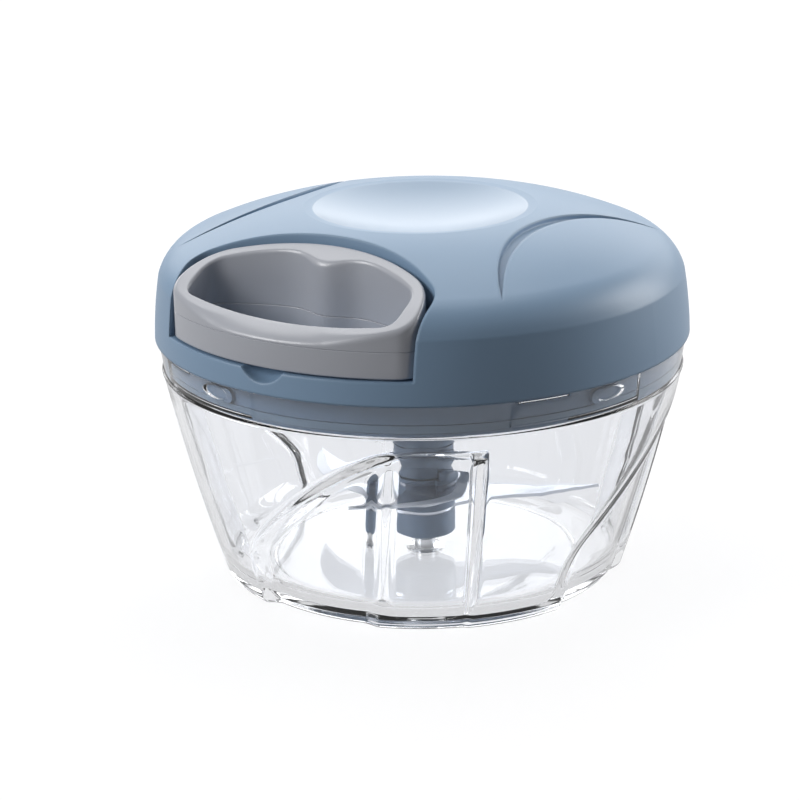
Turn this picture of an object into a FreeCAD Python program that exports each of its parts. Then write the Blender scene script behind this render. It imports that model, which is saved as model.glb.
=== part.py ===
import FreeCAD, Part
import math
import os

# Hand-pulled food chopper: a clear bowl with a blade set on a pin, and a lid that holds
# a sprung cord drum, its pull handle and the shaft that drives the blades.
# Millimetres, +Z up, origin at the centre of the base, pull handle towards -Y.
# An azimuth is counted in degrees from -Y towards +X.

V = FreeCAD.Vector

# Bowl
bowl_base_radius = 47.7
bowl_shoulder_radius = 61.0
bowl_shoulder_height = 49.7
bowl_wall_bulge = 0.7
bowl_wall = 2.2
bowl_floor = 2.6
bowl_floor_corner = 6.0
base_edge_radius = 1.0
foot_inner_radius = 35.8
foot_recess = 0.8
collar_step = 0.3
rim_flare = 0.76
collar_inset = 2.0

# Swirl in the bowl's wall, which repeats around the axis
swirl_count = 4
swirl_depth = 2.4
swirl_start_azimuth = -17.0
swirl_end_azimuth = 28.0
swirl_middle_azimuth = 3.0
swirl_left_reach = 16.5
swirl_left_height = 15.5
swirl_right_reach = 22.4
swirl_top_height = 43.0
swirl_foot_reach = 14.7
swirl_edge_bulge = 1.2
fin_azimuth = 46.2
fin_top_height = 44.0
fin_reach = 4.4
fin_thickness = 2.0
fin_top_radius = 1.6

# Bayonet between lid and bowl
lug_count = 4
lug_azimuth = 75.8
lug_width = 9.2
lug_height = 3.4
lug_reach = 1.0
lug_lip = 0.8
entry_width = 21.6
lock_angle = 18.0
lug_clearance = 0.3
lug_seal_gap = 0.1

# Seal ring in the lid's skirt
seal_height = 1.8
seal_depth = 1.4
seal_squeeze_gap = 0.1
seal_rise = 0.9

# Lid shell
lid_gap = 0.2
lid_overhang = 0.74
lid_side_rise = 14.2
lid_side_draft = 1.4
lid_side_bulge = 0.25
lid_shoulder_inset = 8.7
lid_shoulder_rise = 21.8
lid_shoulder_bulge = 1.25
lid_crest_radius = 27.0
lid_crest_rise = 28.8
lid_top_bulge = 1.05
dish_rim_width = 2.15
dish_edge_drop = 0.2
dish_depth = 3.5
lid_wall = 2.2

# Curved steps on the lid's shoulders, each between two arcs
crescent_inset = 23.4
crescent_inner_radius = 51.0
crescent_width = 3.2
crescent_outer_radius = 63.0
crescent_depth = 1.3

# Notch that holds the handle
notch_side_inset = 29.5
notch_back_reach = 31.5
notch_back_flatness = 6.5
notch_corner_radius = 7.0
notch_floor_rise = 3.4
notch_floor_thickness = 1.8
notch_wall = 1.8
scoop_half_width = 5.5
scoop_depth = 2.8
scoop_wall = 1.2

# Pull handle
handle_side_gap = 0.9
handle_floor_gap = 0.4
handle_front_setback = 0.9
handle_front_corner = 2.0
handle_front_rise = 2.1
handle_slope_setback = 1.6
handle_back_drop = 2.96
handle_parting_rise = 6.4
handle_edge_radius = 1.0
grip_front_wall = 5.3
grip_front_radius = 116.0
grip_side_wall = 4.4
grip_back_wall = 3.0
grip_bump_half_width = 9.5
grip_bump_depth = 3.1
grip_corner_radius = 3.0
handle_screw_radius = 0.9
handle_screw_head_radius = 1.6
handle_screw_head_height = 1.2
handle_screw_length = 9.0
handle_screw_setback = 13.0

# Cord
cord_diameter = 1.8
winding_inner_radius = 14.2
winding_layers = 2
winding_turns_per_layer = 2
cord_clearance = 0.3
cord_entry = 0.5
cord_bend_setback = 4.5
knot_radius = 2.0
knot_clearance = 0.2
eyelet_wall = 0.9
eyelet_flange = 0.8
eyelet_flange_thickness = 0.4

# Lid base, its tube and its screws
base_plate_thickness = 2.0
skirt_wall = 1.8
skirt_bottom_gap = 0.2
skirt_clearance = 0.3
tube_outer_radius = 7.15
tube_inner_radius = 5.6
lid_screw_azimuths = (50.0, 130.0, 230.0, 310.0)
lid_screw_inset = 4.9
lid_screw_radius = 1.1
lid_screw_head_radius = 2.4
lid_screw_head_height = 1.5
lid_screw_depth = 9.0
screw_boss_radius = 3.2

# Drive shaft, its bushes and its dog clutch
shaft_radius = 4.0
running_clearance = 0.05
bush_length = 6.0
bush_flange_radius = 6.6
bush_flange_thickness = 0.6
shaft_end_gap = 0.3
dog_root_radius = 4.6
dog_end_gap = 0.4
coupler_head_length = 7.1
dog_count = 2
dog_play = 3.0
peg_azimuth = 85.0
peg_width = 42.0
peg_radial_gap = 0.3
peg_height = 4.8
peg_end_gap = 0.7

# Ratchet and its pawls
ratchet_radius = 10.0
ratchet_tooth_depth = 1.5
ratchet_teeth = 10
ratchet_thickness = 3.2
clip_radius = 5.2
clip_thickness = 0.7
clip_opening = 2.4
hex_radius = 4.0
pawl_count = 2
pawl_pivot_circle = 15.0
pawl_pivot_radius = 1.3
pawl_eye_radius = 2.7
pawl_thickness = 2.6
pawl_nose_width = 1.6
pawl_clearance = 0.3
stack_gap = 0.2

# Cord drum, return spring and their axle
drum_flange_radius = 24.0
drum_flange_thickness = 1.4
drum_cup_radius = 26.0
drum_cup_wall = 1.6
drum_hub_radius = 5.0
drum_top_clearance = 1.1
spring_cover_thickness = 0.8
spring_cover_hole = 7.4
spring_width = 4.8
spring_strip = 0.4
spring_turns = 7
spring_end_gap = 0.35
arbor_radius = 4.8
arbor_slot = 0.7
arbor_boss_wall = 2.0
arbor_boss_depth = 1.3
axle_radius = 2.0
axle_engagement = 5.0

# Blade set
pin_radius = 2.5
pin_end_gap = 0.8
pin_root_radius = 4.5
pin_root_cover = 0.4
pin_root_thickness = 0.7
hub_floor_gap = 2.6
hub_length = 7.6
hub_cone_height = 2.0
hub_cone_radius = 3.4
hub_radius = 7.35
blade_thickness = 0.8
blade_tip_gap = 4.7
spacer_height = 2.6
hub_cap_radius = 8.2
hub_cap_thickness = 1.1
hub_cap_pad = 8.6
hub_hex_radius = 4.8
blade_tip_azimuths = (131.0, -109.0, 11.0)
blade_bends = ((-0.6, 1.8), (-0.5, -1.0), (2.6, 4.6))
blade_lead_offset = 13.0
blade_lead_start = 10.5
blade_trail_offset = 2.6
blade_trail_start = -6.6
blade_bend_start = 9.0
blade_bend_middle = 29.0

# Heights that follow from the sizes above, from the bowl's shoulder up to the lid's crest
skirt_bottom_height = bowl_shoulder_height + skirt_bottom_gap
seal_groove_bottom = skirt_bottom_height + seal_rise
seal_groove_top = seal_groove_bottom + seal_height + 2 * seal_squeeze_gap
lug_middle = seal_groove_top + lug_seal_gap + lug_height / 2
lug_top = lug_middle + lug_height / 2
rim_height = lug_top + lug_clearance + lug_lip
lid_bottom = rim_height + lid_gap
plate_top = lid_bottom + base_plate_thickness
lid_side_height = lid_bottom + lid_side_rise
lid_shoulder_height = lid_bottom + lid_shoulder_rise
lid_crest_height = lid_bottom + lid_crest_rise
ceiling_height = lid_crest_height - dish_edge_drop - dish_depth - lid_wall
notch_floor_height = plate_top + notch_floor_rise
handle_bottom = notch_floor_height + handle_floor_gap
handle_parting_height = notch_floor_height + handle_parting_rise
handle_front_height = handle_parting_height + handle_front_rise

# Radii that follow, from the bowl's shoulder outwards and inwards
collar_inner_radius = bowl_shoulder_radius - collar_inset
rim_radius = bowl_shoulder_radius + rim_flare
skirt_radius = collar_inner_radius - skirt_clearance
lid_radius = rim_radius + lid_overhang
lid_side_radius = lid_radius - lid_side_draft
lid_shoulder_radius = lid_radius - lid_shoulder_inset
lid_screw_circle = skirt_radius - skirt_wall - lid_screw_inset
crescent_inner_reach = lid_shoulder_radius - crescent_inset
dish_radius = lid_crest_radius - dish_rim_width
handle_front_radius = lid_radius - handle_front_setback
notch_half_width = lid_radius - notch_side_inset
notch_back_radius = lid_radius - notch_back_flatness

# Blade set and drive, from the bowl's floor up
hub_bottom_height = bowl_floor + hub_floor_gap
blade_lower_height = hub_bottom_height + hub_length
blade_tip_radius = bowl_base_radius - blade_tip_gap
hub_cap_bottom = blade_lower_height + 3 * blade_thickness + 2 * spacer_height
hub_cap_top = hub_cap_bottom + hub_cap_thickness
pin_top_height = hub_cap_bottom - pin_end_gap
coupler_end_height = hub_cap_top + dog_end_gap
dog_mouth_depth = peg_height - dog_end_gap + peg_end_gap
tube_bottom_height = coupler_end_height + coupler_head_length + shaft_end_gap

# Drum, clutch, cord and handle
shaft_bore_radius = shaft_radius + running_clearance
shaft_shoulder = tube_bottom_height - shaft_end_gap
ratchet_bottom = plate_top + bush_flange_thickness + stack_gap
ratchet_top = ratchet_bottom + ratchet_thickness
clip_bottom = ratchet_top + stack_gap / 2
winding_width = winding_turns_per_layer * cord_diameter + 2 * stack_gap
winding_outer_radius = winding_inner_radius + winding_layers * cord_diameter
winding_bottom = handle_parting_height - winding_width / 2
drum_groove_bottom = winding_bottom - stack_gap
drum_groove_top = winding_bottom + winding_width + stack_gap
drum_bottom = drum_groove_bottom - drum_flange_thickness
drum_cup_floor = drum_groove_top + drum_flange_thickness
drum_hub_bottom = clip_bottom + clip_thickness + 1.5 * stack_gap
spring_bottom = drum_cup_floor + 1.5 * stack_gap
drum_cup_top = ceiling_height - spring_cover_thickness - drum_top_clearance
handle_half_width = notch_half_width - handle_side_gap
handle_back_radius = notch_back_radius - handle_side_gap
back_arc_centre = -notch_back_reach - notch_back_radius
handle_back_reach = notch_back_reach + handle_side_gap
eyelet_bore = cord_diameter / 2 + cord_clearance
eyelet_flange_radius = eyelet_bore + eyelet_wall + eyelet_flange
eyelet_seat = back_arc_centre + math.sqrt(notch_back_radius ** 2 - eyelet_flange_radius ** 2)
lead_end = -handle_back_reach - cord_entry
peg_reach = tube_outer_radius - dog_root_radius - peg_radial_gap
pin_bore_radius = pin_radius + running_clearance
axle_bore_radius = axle_radius + running_clearance
shaft_top = ratchet_top + stack_gap / 2
axle_bottom = shaft_top - axle_engagement
pin_root_bottom = foot_recess + pin_root_cover
slope_line = -handle_front_radius + handle_slope_setback
handle_back_height = lid_crest_height - handle_back_drop
grip_slope = (handle_back_height - handle_front_height) / (-handle_back_reach - slope_line)
quarter_turn = 90.0
far = 200.0


def edges_of(outline, place):
    """Edges of a closed outline of (u, v) or (u, v, bulge) corners.

    bulge is how far the edge to the next corner bows out to its right."""
    edges = []
    for corner, after in zip(outline, outline[1:] + outline[:1]):
        u, v = corner[:2]
        s, t = after[:2]
        bulge = corner[2] if len(corner) > 2 else 0.0
        if bulge:
            run = math.hypot(s - u, t - v)
            middle = ((u + s) / 2 + (t - v) / run * bulge, (v + t) / 2 - (s - u) / run * bulge)
            edges.append(Part.Arc(place(u, v), place(*middle), place(s, t)).toShape())
        else:
            edges.append(Part.LineSegment(place(u, v), place(s, t)).toShape())
    return edges


def turned(outline, angle=360.0):
    """Solid turned about the Z axis from an outline of (radius, height) corners."""
    face = Part.Face(Part.Wire(edges_of(outline, lambda r, z: V(r, 0, z))))
    return face.revolve(V(0, 0, 0), V(0, 0, 1), angle)


def plate(outline, bottom, height):
    """Solid raised from an outline of (x, y) corners."""
    face = Part.Face(Part.Wire(edges_of(outline, lambda x, y: V(x, y, bottom))))
    return face.extrude(V(0, 0, height))


def rod(radius, bottom, top, x=0.0, y=0.0):
    return Part.makeCylinder(radius, top - bottom, V(x, y, bottom))


def ring(outer, inner, bottom, top, x=0.0, y=0.0):
    return rod(outer, bottom, top, x, y).cut(rod(inner, bottom, top, x, y))


def block(x0, x1, y0, y1, z0, z1):
    return Part.makeBox(x1 - x0, y1 - y0, z1 - z0, V(x0, y0, z0))


def hexagon(radius, bottom, top):
    corners = [(radius * math.cos(math.radians(60 * k)), radius * math.sin(math.radians(60 * k)))
               for k in range(6)]
    return plate(corners, bottom, top - bottom)


def sector(radius, start, end, bottom, top):
    """Slice of a round bar between two azimuths."""
    piece = Part.makeCylinder(radius, top - bottom, V(0, 0, bottom), V(0, 0, 1), end - start)
    return turn(piece, start - quarter_turn)


def turn(shape, degrees):
    copy = shape.copy()
    copy.rotate(V(0, 0, 0), V(0, 0, 1), degrees)
    return copy


def around(shape, count):
    """Copies of a shape, evenly spaced about the Z axis."""
    return [turn(shape, 360.0 * k / count) for k in range(count)]


def place_at(azimuth, circle):
    angle = math.radians(azimuth)
    return circle * math.sin(angle), -circle * math.cos(angle)


def round_edges(shape, radius, chosen):
    return shape.makeFillet(radius, [edge for edge in shape.Edges if chosen(edge)])


def is_upright(edge):
    ends = [vertex.Point for vertex in edge.Vertexes]
    return len(ends) == 2 and math.hypot(ends[0].x - ends[1].x, ends[0].y - ends[1].y) < 1e-4


def save(name, shape):
    shape.exportStep("parts/" + name + ".step")
    print(name, len(shape.Solids), "solids", round(shape.Volume, 1), "mm3", "valid", shape.isValid())


# Bowl

def bowl_outside():
    base = bowl_base_radius
    return turned([
        (0.0, foot_recess),
        (foot_inner_radius, foot_recess),
        (foot_inner_radius + foot_recess, 0.0),
        (base - base_edge_radius, 0.0, base_edge_radius * 0.3),
        (base, base_edge_radius, bowl_wall_bulge),
        (bowl_shoulder_radius, bowl_shoulder_height),
        (bowl_shoulder_radius - collar_step, bowl_shoulder_height + collar_step),
        (rim_radius, rim_height),
        (0.0, rim_height),
    ])


def bowl_inside():
    """The hollow of the bowl, with its top closed above the rim."""
    base = bowl_base_radius - bowl_wall
    return turned([
        (0.0, bowl_floor),
        (base - bowl_floor_corner, bowl_floor, bowl_floor_corner * 0.25),
        (base + bowl_floor_corner * 0.35, bowl_floor + bowl_floor_corner, bowl_wall_bulge),
        (bowl_shoulder_radius - bowl_wall, bowl_shoulder_height),
        (collar_inner_radius, bowl_shoulder_height + collar_step),
        (collar_inner_radius, rim_height + 1.0),
        (0.0, rim_height + 1.0),
    ])


def swirl_tool(inset):
    """One scoop of the swirl, which is cut out of the wall from outside; inset moves it inwards."""
    depth = swirl_depth + inset
    band = turned([
        (bowl_base_radius - depth, -1.0),
        (bowl_base_radius - depth, base_edge_radius, bowl_wall_bulge),
        (bowl_shoulder_radius - depth, bowl_shoulder_height),
        (far, bowl_shoulder_height),
        (far, -1.0),
    ], swirl_end_azimuth - swirl_start_azimuth + 2 * inset)
    band = turn(band, swirl_start_azimuth - inset - quarter_turn)
    face = Part.Face(Part.Wire(edges_of([
        (-swirl_left_reach - inset, -1.0),
        (swirl_foot_reach + inset, -1.0),
        (swirl_right_reach + inset, swirl_top_height - 5.0),
        (swirl_right_reach + inset, swirl_top_height + inset, swirl_edge_bulge),
        (-swirl_left_reach - inset + 1.3, swirl_left_height + inset),
    ], lambda t, z: V(t, 0, z))))
    window = face.extrude(V(0, -far, 0))
    return band.common(turn(window, swirl_middle_azimuth))


def fin():
    """Upright fin on the inside of the wall."""
    wall = bowl_base_radius - bowl_wall
    top = bowl_shoulder_radius - bowl_wall
    lean = (top - wall) / bowl_shoulder_height
    foot = wall + lean * bowl_floor
    head = wall + lean * fin_top_height
    half = fin_thickness / 2
    face = Part.Face(Part.Wire(edges_of([
        (foot - fin_reach, bowl_floor / 2),
        (foot + bowl_wall / 2, bowl_floor / 2),
        (head + bowl_wall / 2, fin_top_height),
        (head - fin_reach + fin_top_radius, fin_top_height, fin_top_radius * 0.4),
        (head - fin_reach, fin_top_height - fin_top_radius),
    ], lambda r, z: V(half, -r, z))))
    return turn(face.extrude(V(-fin_thickness, 0, 0)), fin_azimuth)


def lug_groove():
    """Way in from above for a lug, and the way along which it locks."""
    half_lug = math.degrees(lug_width / 2 / skirt_radius)
    outer = skirt_radius + lug_reach + lug_clearance
    bottom = lug_middle - lug_height / 2 - lug_clearance
    spare = math.degrees(2 * lug_clearance / skirt_radius)
    entry = sector(outer, lug_azimuth - entry_width / 2, lug_azimuth + entry_width / 2,
                   bottom, rim_height + 1.0)
    locking = sector(outer, lug_azimuth - lock_angle - half_lug - spare, lug_azimuth,
                     bottom, lug_top + lug_clearance)
    return entry.fuse(locking)


def pin_shape():
    root = rod(pin_root_radius, pin_root_bottom, pin_root_bottom + pin_root_thickness)
    return root.fuse(rod(pin_radius, pin_root_bottom, pin_top_height)).removeSplitter()


def make_bowl():
    outside = bowl_outside().cut(around(swirl_tool(0.0), swirl_count))
    hollow = bowl_inside().cut(around(swirl_tool(bowl_wall), swirl_count))
    hollow = hollow.cut(around(fin(), swirl_count))
    shape = outside.cut(hollow)
    shape = shape.cut(around(lug_groove(), lug_count))
    return shape.cut(pin_shape())


# Lid

def dome(wall):
    """Solid body of the lid, wall inside its outer face."""
    low = lid_bottom
    return turned([
        (0.0, low),
        (lid_radius - wall, low, lid_side_bulge),
        (lid_side_radius - wall, lid_side_height - wall * 0.3, lid_shoulder_bulge),
        (lid_shoulder_radius - wall * 0.5, lid_shoulder_height - wall * 0.9, lid_top_bulge),
        (lid_crest_radius, lid_crest_height - wall),
        (dish_radius, lid_crest_height - dish_edge_drop - wall, -dish_sag()),
        (0.0, lid_crest_height - dish_edge_drop - dish_depth - wall),
    ])


def dish_sag():
    """How far the dish's half arc bows from its chord."""
    arc_radius = (dish_radius ** 2 + dish_depth ** 2) / (2 * dish_depth)
    chord = math.hypot(dish_radius, dish_depth)
    return arc_radius - math.sqrt(arc_radius ** 2 - chord ** 2 / 4)


def notch_prism(inset, bottom, top):
    """Room of the handle, open to the front; inset makes it smaller all round."""
    half = notch_half_width - inset
    room = block(-half, half, -far, 0.0, bottom, top)
    room = room.common(rod(notch_back_radius - inset, bottom, top, 0.0, back_arc_centre))
    corner = notch_corner_radius - inset
    back = back_arc_centre + notch_back_radius / 2
    return round_edges(room, corner, lambda e: is_upright(e) and e.CenterOfMass.y > back)


def crescent():
    inner_centre = crescent_inner_reach + crescent_inner_radius
    outer_centre = crescent_inner_reach + crescent_width + crescent_outer_radius
    low = lid_side_height
    shape = rod(crescent_inner_radius, low, far, inner_centre, 0.0)
    shape = shape.cut(rod(crescent_outer_radius, low, far, outer_centre, 0.0))
    floor = dome(0.0)
    floor.translate(V(0, 0, -crescent_depth))
    return shape.cut(floor).common(block(0, lid_radius, -lid_radius, lid_radius, low, far))


def scoop(extra=0.0):
    """Round hollow under the handle's front, for a fingertip."""
    radius = (scoop_half_width ** 2 + scoop_depth ** 2) / (2 * scoop_depth)
    height = notch_floor_height - scoop_depth + radius
    return Part.makeSphere(radius + extra, V(0, -lid_radius, height))


def make_lid_shell():
    hollow = dome(lid_wall)
    hollow = hollow.cut(notch_prism(-notch_wall, notch_floor_height - notch_floor_thickness, far))
    hollow = hollow.cut(scoop(scoop_wall).common(block(-far, far, -far, far, plate_top, far)))
    for azimuth in lid_screw_azimuths:
        x, y = place_at(azimuth, lid_screw_circle)
        hollow = hollow.cut(rod(screw_boss_radius, plate_top, far, x, y))
    boss_radius = arbor_radius + arbor_boss_wall
    hollow = hollow.cut(rod(boss_radius, ceiling_height - arbor_boss_depth, far))
    shell = dome(0.0).cut(hollow)
    shell = shell.cut(rod(arbor_radius, ceiling_height - arbor_boss_depth - 1.0, ceiling_height))
    shell = shell.cut(notch_prism(0.0, notch_floor_height, far)).cut(scoop())
    shell = shell.cut([crescent(), turn(crescent(), 180.0)])
    shell = shell.cut(eyelet_hole())
    for azimuth in lid_screw_azimuths:
        x, y = place_at(azimuth, lid_screw_circle)
        shell = shell.cut(rod(lid_screw_radius, lid_bottom - 1.0, plate_top + lid_screw_depth, x, y))
    return shell


def make_lid_base():
    edge = lid_radius - lid_wall - lid_gap
    skirt_inner = skirt_radius - skirt_wall
    groove = skirt_radius - seal_depth + seal_squeeze_gap
    base = turned([
        (tube_inner_radius, tube_bottom_height),
        (tube_outer_radius, tube_bottom_height),
        (tube_outer_radius, lid_bottom),
        (skirt_inner, lid_bottom),
        (skirt_inner, skirt_bottom_height),
        (skirt_radius, skirt_bottom_height),
        (skirt_radius, seal_groove_bottom),
        (groove, seal_groove_bottom),
        (groove, seal_groove_top),
        (skirt_radius, seal_groove_top),
        (skirt_radius, lid_bottom),
        (edge, lid_bottom),
        (edge, plate_top),
        (tube_inner_radius, plate_top),
    ])
    base = base.fuse([turn(lug(), 360.0 * k / lug_count) for k in range(lug_count)])
    for azimuth in lid_screw_azimuths:
        x, y = place_at(azimuth, lid_screw_circle)
        base = base.cut(rod(lid_screw_radius, lid_bottom - 1.0, plate_top + 1.0, x, y))
    return base.removeSplitter()


def lug():
    """Oval lug that stands out of the skirt."""
    half_height = lug_height / 2
    straight = lug_width / 2 - half_height
    corners = [
        (-straight, -half_height),
        (straight, -half_height, half_height),
        (straight, half_height),
        (-straight, half_height, half_height),
    ]
    root = skirt_radius - skirt_wall / 2
    face = Part.Face(Part.Wire(edges_of(corners, lambda t, z: V(t, -root, lug_middle + z))))
    bar = face.extrude(V(0, -2 * skirt_wall - lug_reach, 0))
    bar = bar.common(rod(skirt_radius + lug_reach, 0.0, far))
    return turn(bar, lug_azimuth)


def make_lid_seal():
    bottom = seal_groove_bottom + seal_squeeze_gap
    return ring(collar_inner_radius - seal_squeeze_gap, skirt_radius - seal_depth + 2 * seal_squeeze_gap,
                bottom, bottom + seal_height)


def screw(x, y, head_bottom, head_radius, head_height, radius, length):
    head = rod(head_radius, head_bottom, head_bottom + head_height, x, y)
    slot = block(x - head_radius, x + head_radius, y - radius / 4, y + radius / 4,
                 head_bottom, head_bottom + head_height / 3)
    shank = rod(radius, head_bottom + head_height, head_bottom + head_height + length, x, y)
    return head.cut(slot).fuse(shank).removeSplitter()


def make_lid_screws():
    screws = []
    for azimuth in lid_screw_azimuths:
        x, y = place_at(azimuth, lid_screw_circle)
        screws.append(screw(x, y, lid_bottom - lid_screw_head_height, lid_screw_head_radius,
                            lid_screw_head_height, lid_screw_radius,
                            base_plate_thickness + lid_screw_depth - 1.0))
    return Part.makeCompound(screws)


# Cord

def along_y(radius, start, end, x=0.0):
    """Round bar at the cord's height."""
    return Part.makeCylinder(radius, start - end, V(x, start, handle_parting_height), V(0, -1, 0))


def eyelet_hole():
    return along_y(eyelet_bore + eyelet_wall, -notch_back_reach + notch_wall + 1.0,
                   -notch_back_reach - 1.0)


def make_cord_eyelet():
    inside = -notch_back_reach + notch_wall
    front = eyelet_seat - eyelet_flange_thickness
    body = along_y(eyelet_bore + eyelet_wall, inside + 2 * eyelet_flange_thickness, front)
    body = body.fuse(along_y(eyelet_flange_radius, inside + 2 * eyelet_flange_thickness, inside))
    body = body.fuse(along_y(eyelet_flange_radius, eyelet_seat, front))
    return body.cut(along_y(eyelet_bore, 0.0, -far)).removeSplitter()


def make_cord_lead():
    """Cord from the drum to the handle: a straight run, one bend, and the run through the eyelet."""
    path_radius = winding_outer_radius + cord_clearance + cord_diameter / 2
    bend_reach = notch_back_reach - cord_bend_setback
    lift_angle = math.acos(path_radius / bend_reach)
    start = V(-path_radius * math.sin(lift_angle), -path_radius * math.cos(lift_angle), 0)
    corner = V(0, -bend_reach, 0)
    end = V(0, lead_end, 0)
    level = V(0, 0, handle_parting_height)
    into = (corner - start).normalize()
    out = (end - corner).normalize()
    setback = (end - corner).Length * 0.45
    bend_start = corner - into * setback
    bend_end = corner + out * setback
    half_turn = into.getAngle(out) / 2
    bend_radius = setback / math.tan(half_turn)
    towards_centre = (out - into).normalize()
    middle = corner + towards_centre * (bend_radius / math.cos(half_turn) - bend_radius)
    print("cord bend radius", round(bend_radius, 2))
    path = Part.Wire([
        Part.LineSegment(start + level, bend_start + level).toShape(),
        Part.Arc(bend_start + level, middle + level, bend_end + level).toShape(),
        Part.LineSegment(bend_end + level, end + level).toShape(),
    ])
    section = Part.Wire(Part.makeCircle(cord_diameter / 2, start + level, into))
    return path.makePipeShell([section], True, False)


def make_cord_knot():
    start = lead_end - knot_clearance
    middle = -handle_back_reach - grip_back_wall
    stub = along_y(cord_diameter / 2, start, middle)
    return stub.fuse(Part.makeSphere(knot_radius, V(0, middle, handle_parting_height)))


def make_cord_winding():
    return ring(winding_outer_radius, winding_inner_radius, winding_bottom,
                winding_bottom + winding_width)


# Pull handle

def handle_blank(bottom, top):
    blank = notch_prism(handle_side_gap, bottom, top)
    blank = blank.common(rod(handle_front_radius, bottom, top))
    blank = round_edges(blank, handle_front_corner, is_on_front)
    return blank.cut(finger_opening(bottom - 1.0, top + 1.0))


def is_on_front(edge):
    middle = edge.CenterOfMass
    return is_upright(edge) and math.hypot(middle.x, middle.y) > handle_front_radius - 1e-3


def finger_opening(bottom, top):
    half = handle_half_width - grip_side_wall
    front = -handle_front_radius + grip_front_wall
    shape = block(-half, half, -far, 0.0, bottom, top)
    shape = shape.common(rod(handle_back_radius - grip_back_wall, bottom, top, 0.0, back_arc_centre))
    shape = shape.common(rod(grip_front_radius, bottom, top, 0.0, front + grip_front_radius))
    bump_radius = (grip_bump_half_width ** 2 + grip_bump_depth ** 2) / (2 * grip_bump_depth)
    bump_front = -handle_back_reach - grip_back_wall - grip_bump_depth
    shape = shape.cut(rod(bump_radius, bottom, top, 0.0, bump_front + bump_radius))
    return round_edges(shape, grip_corner_radius, is_upright)


def slope_tool():
    """Everything above the handle's sloping top."""
    rise = far * grip_slope
    low = handle_front_height
    face = Part.Face(Part.Wire(edges_of([
        (slope_line - far, low - rise),
        (slope_line + far, low + rise),
        (slope_line - far, low + rise),
    ], lambda y, z: V(-far, y, z))))
    return face.extrude(V(2 * far, 0, 0))


def handle_screw_places():
    x = handle_half_width - grip_side_wall / 2
    y = -handle_front_radius + handle_screw_setback
    return [(-x, y), (x, y)]


def knot_room():
    middle = -handle_back_reach - grip_back_wall
    room = Part.makeSphere(knot_radius + knot_clearance, V(0, middle, handle_parting_height))
    return room.fuse(along_y(eyelet_bore, -notch_back_reach, middle))


def make_handle_bottom():
    shape = handle_blank(handle_bottom, handle_parting_height)
    shape = shape.cut(knot_room())
    for x, y in handle_screw_places():
        shape = shape.cut(rod(handle_screw_radius, handle_bottom, handle_parting_height, x, y))
        shape = shape.cut(rod(handle_screw_head_radius + stack_gap, handle_bottom,
                              handle_bottom + handle_screw_head_height, x, y))
    return shape


def make_handle_top():
    shape = handle_blank(handle_parting_height, lid_crest_height).cut(slope_tool())
    shape = round_edges(shape, handle_edge_radius, is_on_slope)
    shape = shape.cut(knot_room())
    for x, y in handle_screw_places():
        depth = handle_bottom + handle_screw_head_height + handle_screw_length
        shape = shape.cut(rod(handle_screw_radius, handle_parting_height, depth, x, y))
    return shape


def is_on_slope(edge):
    for vertex in edge.Vertexes:
        point = vertex.Point
        if abs(point.z - handle_front_height - grip_slope * (point.y - slope_line)) > 1e-3:
            return False
    return True


def make_handle_screws():
    return Part.makeCompound([
        screw(x, y, handle_bottom, handle_screw_head_radius, handle_screw_head_height,
              handle_screw_radius, handle_screw_length - 0.5)
        for x, y in handle_screw_places()])


# Drum, spring and clutch

def make_cord_drum():
    hub_bore = axle_bore_radius
    drum = turned([
        (hub_bore, drum_hub_bottom),
        (drum_hub_radius, drum_hub_bottom),
        (drum_hub_radius, drum_bottom),
        (drum_flange_radius, drum_bottom),
        (drum_flange_radius, drum_groove_bottom),
        (winding_inner_radius, drum_groove_bottom),
        (winding_inner_radius, drum_groove_top),
        (drum_cup_radius, drum_groove_top),
        (drum_cup_radius, drum_cup_top),
        (drum_cup_radius - drum_cup_wall, drum_cup_top),
        (drum_cup_radius - drum_cup_wall, drum_cup_floor),
        (hub_bore, drum_cup_floor),
    ])
    pegs = around(rod(pawl_pivot_radius, ratchet_bottom + stack_gap, drum_bottom, pawl_pivot_circle),
                  pawl_count)
    return drum.fuse(pegs).removeSplitter()


def make_spring_cover():
    return ring(drum_cup_radius, spring_cover_hole, drum_cup_top, drum_cup_top + spring_cover_thickness)


def make_return_spring():
    """Flat spiral spring: half rings whose radius grows by the same step each time."""
    inner = arbor_radius + spring_end_gap
    outer = drum_cup_radius - drum_cup_wall - spring_end_gap - spring_strip
    halves = 2 * spring_turns
    step = (outer - inner) / halves
    strips = []
    for k in range(halves):
        radius = inner + k * step
        centre = step * (k % 2)
        half_ring = ring(radius + spring_strip, radius, spring_bottom, spring_bottom + spring_width,
                         centre, 0.0)
        room = block(-far, far, 0.0, far, spring_bottom, spring_bottom + spring_width)
        strips.append(half_ring.common(turn(room, 180.0 * k)))
    return strips[0].fuse(strips[1:]).removeSplitter()


def make_spring_arbor():
    top = ceiling_height
    shape = ring(arbor_radius, axle_radius, spring_bottom, top)
    slot = block(0.0, arbor_radius + 1.0, -arbor_slot / 2, arbor_slot / 2,
                 spring_bottom, spring_bottom + spring_width)
    return shape.cut(slot)


def make_drum_axle():
    return rod(axle_radius, axle_bottom + stack_gap, ceiling_height)


def make_ratchet_wheel():
    """Saw-toothed wheel: each tooth rises slowly and ends in a radial face."""
    corners = []
    pitch = 360.0 / ratchet_teeth
    for k in range(ratchet_teeth):
        for radius, share in ((ratchet_radius - ratchet_tooth_depth, 0.0), (ratchet_radius, 0.97)):
            angle = math.radians(pitch * (k + share))
            corners.append((radius * math.cos(angle), radius * math.sin(angle)))
    wheel = plate(corners, ratchet_bottom, ratchet_thickness)
    return wheel.cut(hexagon(hex_radius, ratchet_bottom, ratchet_top))


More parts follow.
